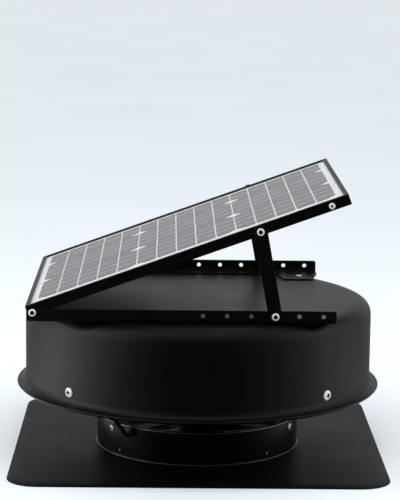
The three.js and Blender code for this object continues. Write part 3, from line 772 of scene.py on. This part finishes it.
def build_bolts():
    """Button heads with hexagon sockets at the hinge and the legs' ends; pan heads at the panel's edge."""
    for kind, body in BOLT_BODIES.items():
        radius, height, shank, length = SCREWS[kind]
        if kind == "frame_screw":
            mesh = screw_head(kind, kind)
        else:
            # The socket faces take the painted shade.
            mesh = carve(round_head(radius, height, shank, length, BOLT_FLAT),
                         hex_recess(radius * SOCKET_SHARE, height), kind, (ZINC, SOCKET_PAINTED_SHADE))
        for side, end in ((-1, "front"), (1, "rear")):
            node = f"{kind}_{end}"
            low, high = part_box(node)
            outer = high.y if side > 0 else low.y
            centre = middle(node)
            rides = f"leg_{end}_body" if body == "leg" else body
            seat = (centre.x, outer - side * height, centre.z)
            fasteners((kind, f"{kind}_head"), mesh, [(node, seat, (0, side, 0), 0.25 + side)], rides)
    for end in ("front", "rear"):
        finish_node(f"foot_nut_{end}", ZINC, 0.0003)
        finish_node(f"leg_spacer_{end}", ZINC, 0.0002)


def finish_node(node, material, bevel=0.0):
    """Gives a CAD node that keeps its shape its finish, with rounded edges."""
    piece = NODES[node]
    piece.data.materials.clear()
    piece.data.materials.append(material)
    if bevel:
        round_edges(piece, bevel)


# -- Rails and legs --

def rail_blank(left, right, bend_end):
    """The rail's flat pattern in (x, u): u runs down the flange, round the bend and in over the dome."""
    strip = bend_end + RAIL.fold - RAIL.strip
    reach = bend_end + RAIL.fold - RAIL.tab_inner
    corner, slant = RAIL.corner, RAIL.slant
    near, far = RAIL.tab_near, RAIL.tab_far
    right_tab = [(right, strip), *soft_corner(right - slant, reach, -1), *soft_corner(near + slant, reach, 1),
                 (near, strip)]
    left_tab = [(-near, strip), *soft_corner(-near - slant, reach, -1), *soft_corner(-far + slant, reach, 1),
                (-far, strip)]
    return [
        *arc((left + corner, corner), corner, 180, 270, 5),
        *arc((right - corner, corner), corner, 270, 360, 5),
        *right_tab, *left_tab, (left, strip),
    ]


def soft_corner(x, reach, side):
    """A tab's corner, cut off a little: side is -1 at its right end and 1 at its left."""
    cut = 0.0015
    corner = [(x - side * cut * 0.25, reach - cut), (x + side * cut, reach)]
    return corner if side < 0 else corner[::-1]


def build_rail(name, side):
    low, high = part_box(f"{name}_rail")
    bend, sheet = RAIL.bend, RAIL.sheet
    flange = high.z - low.z - bend
    bend_end = flange + (bend - sheet / 2) * pi / 2
    hole_u = high.z - RAIL.hole_height
    hinge = middle(f"hinge_bolt_{name}")
    holes = [circle(RAIL.hole_start + RAIL.hole_pitch * number, hole_u, RAIL.hole_radius)
             for number in range(RAIL.hole_count)]
    holes.append(circle(hinge.x, high.z - hinge.z, RAIL.hinge_hole))
    for x in (-RAIL.screw_x, RAIL.screw_x):
        holes.append(circle(x, bend_end + RAIL.fold - RAIL.screw_y, RAIL.screw_hole))
    build = drilled_sheet(rail_blank(low.x, high.x, bend_end), holes, sheet, 0.0003)
    for step in range(9):
        cut = flange + (bend_end - flange) * step / 8
        bmesh.ops.bisect_plane(build, geom=build.verts[:] + build.edges[:] + build.faces[:],
                               plane_co=(0, cut, 0), plane_no=(0, 1, 0))
    centre = Vector((RAIL.outer - bend, low.z + bend))
    for vertex in build.verts:
        x, u, w = vertex.co
        radius = bend - w
        if u <= flange:
            y, z = centre.x + radius, high.z - u
        elif u >= bend_end:
            y, z = centre.x - (u - bend_end), centre.y - radius
        else:
            turn = (u - flange) / (bend_end - flange) * pi / 2
            y, z = centre.x + radius * cos(turn), centre.y - radius * sin(turn)
        vertex.co = (x, side * y, z)
    show(f"{name}_tilt_rail", build, COAT, "base", [f"{name}_rail"])


def build_leg(name):
    low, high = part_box(f"leg_{name}")
    foot, head = middle(f"foot_bolt_{name}"), middle(f"leg_bolt_{name}")
    length = hypot(head.x - foot.x, head.z - foot.z)
    radius = LEG.width / 2
    outline = arc((0, length), radius, 0, 180, 24) + arc((0, 0), radius, 180, 360, 24)
    holes = [circle(0, 0, LEG.hole), circle(0, length, LEG.hole)]
    build = drilled_sheet(outline, holes, high.y - low.y, LEG.edge)
    lean = atan2(head.x - foot.x, head.z - foot.z)
    place = (Matrix.Translation((foot.x, high.y, foot.z)) @ Matrix.Rotation(lean, 4, "Y")
             @ Matrix.Rotation(pi / 2, 4, "X"))
    show(f"{name}_leg", build, COAT, f"leg_{name}_body", [f"leg_{name}"], place)


# -- Solar panel --

def panel_place():
    """The panel's own axes: the origin is on the hinge and X runs up the slope."""
    hinge = middle("hinge_bolt_front")
    return Matrix.Translation((hinge.x, 0, hinge.z)) @ Matrix.Rotation(-PANEL.tilt, 4, "Y")


def slab(x0, y0, x1, y1, bottom, top):
    return move(prism([(x0, y0), (x1, y0), (x1, y1), (x0, y1)], top - bottom), 0, 0, bottom)


def cell_rows():
    """(back edge, front edge, back corners cut, front corners cut) of each row, from the back."""
    gap = CELL.row_gap
    first = CELL.first_row
    row_a = first - CELL.pitch / 2
    row_b = row_a - CELL.pitch
    row_end = row_b - CELL.pitch
    return [
        (first, row_a + gap, False, True), (row_a - gap, row_b + gap, True, True),
        (row_b - gap, row_end, True, True),
    ]


def cell_outline(x0, x1, back, front, cuts):
    """One strip of a cell; cuts are the chamfered corners: back left, back right, front left, front right."""
    cx, cy = CELL.chamfer_x, CELL.chamfer_y
    points = [(x0, front + cy), (x0 + cx, front)] if cuts[2] else [(x0, front)]
    points += [(x1 - cx, front), (x1, front + cy)] if cuts[3] else [(x1, front)]
    points += [(x1, back - cy), (x1 - cx, back)] if cuts[1] else [(x1, back)]
    points += [(x0 + cx, back), (x0, back - cy)] if cuts[0] else [(x0, back)]
    return points


def merge(target, part):
    """Adds one bmesh to another."""
    mesh = bpy.data.meshes.new("part")
    part.to_mesh(mesh)
    part.free()
    target.from_mesh(mesh)
    bpy.data.meshes.remove(mesh)


def build_cells(place):
    top = PANEL.floor + PANEL.laminate + PANEL.sheet
    cells = bmesh.new()
    ribbons = bmesh.new()
    first = PANEL.left + CELL.first_column
    last = first + CELL.columns * CELL.column_pitch
    for back, front, back_cut, front_cut in cell_rows():
        for column in range(CELL.columns):
            x0 = first + column * CELL.column_pitch + CELL.column_gap / 2
            x1 = x0 + CELL.column_pitch - CELL.column_gap
            left = column % CELL.strips == 0
            right = column % CELL.strips == CELL.strips - 1
            cuts = (left and back_cut, right and back_cut, left and front_cut, right and front_cut)
            strip = prism(cell_outline(x0, x1, back, front, cuts), CELL.thickness)
            merge(cells, move(strip, 0, 0, top + CELL.seat))
        count = round(CELL.quarters * (back - front) / CELL.size)
        for bar in range(1, count):
            y = back - (back - front) * bar / count
            height = top + CELL.thickness + CELL.lift
            merge(ribbons, slab(first - CELL.tail, y - CELL.ribbon / 2, last + CELL.tail,
                                y + CELL.ribbon / 2, height, height + CELL.foil))
    show("solar_cells", cells, CELLS, "panel", [], place)
    show("busbar_ribbons", ribbons, RIBBON, "panel", [], place)


def build_panel():
    place = panel_place()
    inset = PANEL.wall + PANEL.edge_gap
    bottom = PANEL.floor + PANEL.laminate
    sheet = slab(PANEL.left + inset, -PANEL.side + inset, PANEL.right - inset, PANEL.side - inset,
                 bottom, bottom + PANEL.sheet)
    show("backsheet", sheet, BACKSHEET, "panel", ["cell_laminate"], place)
    build_cells(place)
    finish_node("solar_glass", GLASS)
    for bar in ("front", "back", "left", "right"):
        finish_node(f"frame_{bar}", ANODISED, 0.0004)
    build_junction_box(place)


def build_junction_box(place):
    """A box with a ribbed lid held by four screws, on the panel's underside."""
    finish_node("junction_box", PLASTIC, 0.0008)
    x, bottom, half_x, half_y = LID.x, LID.bottom, LID.half_x, LID.half_y
    corners = [(x + sx * LID.screw_x, sy * LID.screw_y) for sx in (-1, 1) for sy in (-1, 1)]
    lid = drilled_sheet(rounded_rectangle(x - half_x, -half_y, x + half_x, half_y, LID.corner),
                        [circle(*corner, LID.hole) for corner in corners], LID.thickness, LID.edge)
    for rib in range(-2, 3):
        y = rib * LID.rib_pitch
        merge(lid, slab(x - LID.rib_reach, y - LID.rib_half, x + LID.rib_reach, y + LID.rib_half,
                        -0.0002, LID.edge))
    lid = move(lid, 0, 0, bottom)
    show("junction_box_lid", lid, PLASTIC, "panel", ["junction_lid"], place)
    lid_screws = bmesh.new()
    profile = [(0, 0.0002), *arc((0.0022, 0.0008), 0.0006, 270, 360, 3), (0.0028, 0.0022), (0, 0.0022)]
    for corner in corners:
        merge(lid_screws, move(lathe(profile, SMALL_SIDES // 2), *corner, bottom))
    show("lid_screws", lid_screws, ZINC, "panel", [], place)
    show("gland", cable_gland(), PLASTIC, "panel", ["cable_gland"],
         place @ Matrix.Translation((x + LID.gland, 0, 0.0001)) @ Matrix.Rotation(pi / 2, 4, "Y"))


def cable_gland():
    """A gland with a hexagon body and a ribbed dome nut, its axis along Z."""
    bore = 0.0026
    build = lathe([
        (bore, 0), (0.0058, 0), (0.006, 0.0002), (0.006, 0.0058), (0.0058, 0.006), (0.0052, 0.0068),
        (0.0052, 0.0115), *arc((0.0037, 0.0125), 0.0014, 0, 80, 5), (bore, 0.015),
    ], 36)
    for vertex in build.verts:
        ring = vertex.co.xy
        if ring.length > 0.005 and vertex.co.z > 0.0065:
            turn = atan2(ring.y, ring.x)
            ring *= 1 - 0.05 * (0.5 + 0.5 * cos(12 * turn))
            vertex.co.x, vertex.co.y = ring
    return build


# -- Motor and rotor --

def build_motor():
    low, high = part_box("motor_housing")
    radius = high.x
    step = 0.0004
    can = [
        (0, low.z + 0.0187), (0.0043, low.z + 0.0187), (0.0043, low.z), (radius - 0.002, low.z),
        *arc((radius - 0.002, low.z + 0.002), 0.002, 270, 360, 4),
        (radius, low.z + 0.012), (radius - step, low.z + 0.0124), (radius - step, low.z + 0.0148),
        (radius, low.z + 0.0152), (radius, high.z - 0.001), (radius - step, high.z), (0, high.z),
    ]
    show("motor_can", lathe(can, MOTOR_SIDES), MOTOR_PAINT, "base", ["motor_housing"])
    low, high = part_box("motor_cap")
    cap = [
        (0, low.z), (radius, low.z), (radius, low.z + 0.005),
        *arc((radius - 0.008, high.z - 0.007), 0.0075, 0, 80, 6),
        (radius - 0.012, high.z), (0.012, high.z), (0.011, high.z - 0.001), (0, high.z - 0.001),
    ]
    show("motor_end_cap", lathe(cap, MOTOR_SIDES), MOTOR_PAINT, "base", ["motor_cap"])
    finish_node("motor_mount", COAT, 0.0005)


def blade_mesh():
    """A twisted, cambered blade with a rounded outer corner."""
    build = bmesh.new()
    spans, chords = 28, 14
    grid = {}
    for skin in (-0.5, 0.5):
        for i in range(spans + 1):
            for j in range(chords + 1):
                out = i / spans
                across = j / chords - 0.5
                trim = 0.035 * max(0.0, abs(across) * 2 - 0.7) / 0.3 * max(0.0, out - 0.5) * 2
                radius = BLADE.root + (BLADE.tip - BLADE.root) * (out - trim * out)
                chord = BLADE.root_chord + (BLADE.tip_chord - BLADE.root_chord) * sqrt(out)
                pitch = radians(BLADE.root_pitch + (BLADE.tip_pitch - BLADE.root_pitch) * out)
                lift = skin * BLADE.thickness + BLADE.camber * (1 - 4 * across * across)
                along = (across * chord * cos(pitch) - lift * sin(pitch)) / radius
                height = across * chord * sin(pitch) + lift * cos(pitch)
                grid[skin, i, j] = build.verts.new((
                    radius * cos(along), radius * sin(along), BLADE.height + height))
    for skin in (-0.5, 0.5):
        for i in range(spans):
            for j in range(chords):
                corners = ((i, j), (i + 1, j), (i + 1, j + 1), (i, j + 1))
                build.faces.new([grid[(skin, *corner)] for corner in corners])
    rim = [(i, 0) for i in range(spans)] + [(spans, j) for j in range(chords)]
    rim += [(i, chords) for i in range(spans, 0, -1)] + [(0, j) for j in range(chords, 0, -1)]
    for here, there in zip(rim, rim[1:] + rim[:1]):
        build.faces.new([grid[(-0.5, *here)], grid[(-0.5, *there)], grid[(0.5, *there)], grid[(0.5, *here)]])
    return to_mesh(build, "blade")


def build_rotor():
    blade = blade_mesh()
    for number in range(BLADE.count):
        show(f"blade_{number + 1}", blade, BLADE_FINISH, "rotor",
             [f"fan_blade_{number + 1}"], turned_to(number * 360 / BLADE.count), 0.0003)
    low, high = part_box("fan_hub")
    hub = [
        (0.0043, low.z), (0.013, low.z), (0.0135, low.z + 0.0006), (0.020, low.z + 0.0012),
        *arc((0.028, low.z + 0.003), 0.002, 270, 360, 4), *arc((0.0285, high.z - 0.0015), 0.0015, 0, 90, 4),
        (0.0043, high.z),
    ]
    show("hub", lathe(hub, MOTOR_SIDES), BLADE_FINISH, "rotor", ["fan_hub"])
    finish_node("motor_shaft", ZINC, 0.0003)
    finish_node("rotor_nut", ZINC, 0.0003)


# -- Stage --

def studio_brightness(tree, way):
    """How bright the studio looks in a direction: dark in front, brightest at the sides, dimmer behind
    and overhead."""
    parts = add_node(tree, "SeparateXYZ", {0: way})
    place = spread(tree, parts.outputs["Y"], (-1.0, 1.0), (0.0, 1.0))
    ramp = add_node(tree, "ValToRGB", {"Fac": place})
    stops = ramp.color_ramp.elements
    for index, (position, value) in enumerate(BRIGHTNESS):
        stop = stops[index] if index < 2 else stops.new(position)
        stop.position = position
        stop.color = (value, value, value, 1)
    overhead = spread(tree, parts.outputs["Z"], (0.15, 0.9), (1.0, OVERHEAD), interpolation_type="SMOOTHSTEP")
    slope = spread(tree, parts.outputs["Y"], (0.1, 0.7), LEAN)
    lean = maths(tree, "MULTIPLY_ADD", parts.outputs["X"], slope, 1.0)
    both = maths(tree, "MULTIPLY", overhead, lean)
    return maths(tree, "MULTIPLY", ramp.outputs["Color"], both)


def change_in_reflections(material):
    """Keeps the floor pale to the eye and to soft light; gloss mirrors the studio's brightness in it."""
    tree = material.node_tree
    output = tree.nodes["Material Output"].inputs["Surface"]
    shader = output.links[0].from_socket
    way = add_node(tree, "VectorMath", {0: own_place(tree)}, operation="NORMALIZE").outputs[0]
    seen = maths(tree, "MULTIPLY", studio_brightness(tree, way), FLOOR_GLOW)
    glow = add_node(tree, "Emission", {"Strength": seen})
    gloss = add_node(tree, "LightPath").outputs["Is Glossy Ray"]
    mix = add_node(tree, "MixShader", {0: gloss, 1: shader, 2: glow.outputs[0]})
    tree.links.new(mix.outputs[0], output)


def build_floor():
    """A wide pale floor under the flashing."""
    material = surface("floor", *FLOOR_COLOURS, (0.75, 0.85), specular=0.1, patch=1.5, grain=60.0, bump=0.02)
    change_in_reflections(material)
    disc = prism(circle(0, 0, FLOOR.radius, FLOOR.sides)[::-1], FLOOR.thickness)
    floor = add_object("floor", to_mesh(disc, "floor"))
    floor.data.materials.append(material)
    floor.location.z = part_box("flashing_plate")[0].z - FLOOR.thickness - FLOOR.gap


def build_sky():
    """The studio's light from all round: even for matt surfaces, shaded by direction for gloss."""
    world = bpy.data.worlds.new("studio")
    bpy.context.scene.world = world
    world.use_nodes = True
    tree = world.node_tree
    background = tree.nodes["Background"]
    way = add_node(tree, "TexCoord").outputs["Generated"]
    shaded = maths(tree, "MULTIPLY", studio_brightness(tree, way), SKY_GLOW)
    gloss = add_node(tree, "LightPath").outputs["Is Glossy Ray"]
    strength = spread(tree, gloss, (0.0, 1.0), (SKY_SOFT, shaded))
    background.inputs["Color"].default_value = SKY_COLOUR
    tree.links.new(strength, background.inputs["Strength"])


def add_softbox(name, place, size, power):
    """A soft light that faces the fan and leaves no mirror image."""
    light = bpy.data.lights.new(name, "AREA")
    light.shape = "RECTANGLE"
    light.size, light.size_y = size
    light.energy = power
    holder = add_object(name, light)
    holder.visible_glossy = False
    holder.location = place
    holder.rotation_mode = "QUATERNION"
    holder.rotation_quaternion = (Vector(LIGHT_TARGET) - Vector(place)).to_track_quat("-Z", "Y")


def build_camera():
    pitch, yaw, roll = (radians(turn) for turn in (CAMERA.pitch, CAMERA.yaw, CAMERA.roll))
    ahead = Vector((sin(yaw) * cos(pitch), cos(yaw) * cos(pitch), -sin(pitch)))
    level = Vector((cos(yaw), -sin(yaw), 0))
    up = level.cross(ahead)
    right = level * cos(roll) + up * sin(roll)
    top = up * cos(roll) - level * sin(roll)
    camera = bpy.data.cameras.new("camera")
    camera.lens = CAMERA.lens
    camera.sensor_width = CAMERA.sensor
    camera.clip_end = CAMERA.far
    holder = add_object("camera", camera)
    turn = Matrix((right, top, -ahead)).transposed().to_4x4()
    holder.matrix_world = Matrix.Translation(CAMERA.place) @ turn
    bpy.context.scene.camera = holder


# -- Assembly --

build_camera()
build_floor()
build_sky()
for softbox in LIGHTS:
    add_softbox(*softbox)
build_flashing()
build_collar()
build_dome()
build_straps()
build_fasteners()
build_motor()
build_rotor()
for rail_name, rail_side in (("front", -1), ("rear", 1)):
    build_rail(rail_name, rail_side)
    build_leg(rail_name)
build_panel()
bpy.context.scene.view_settings.view_transform = "Standard"
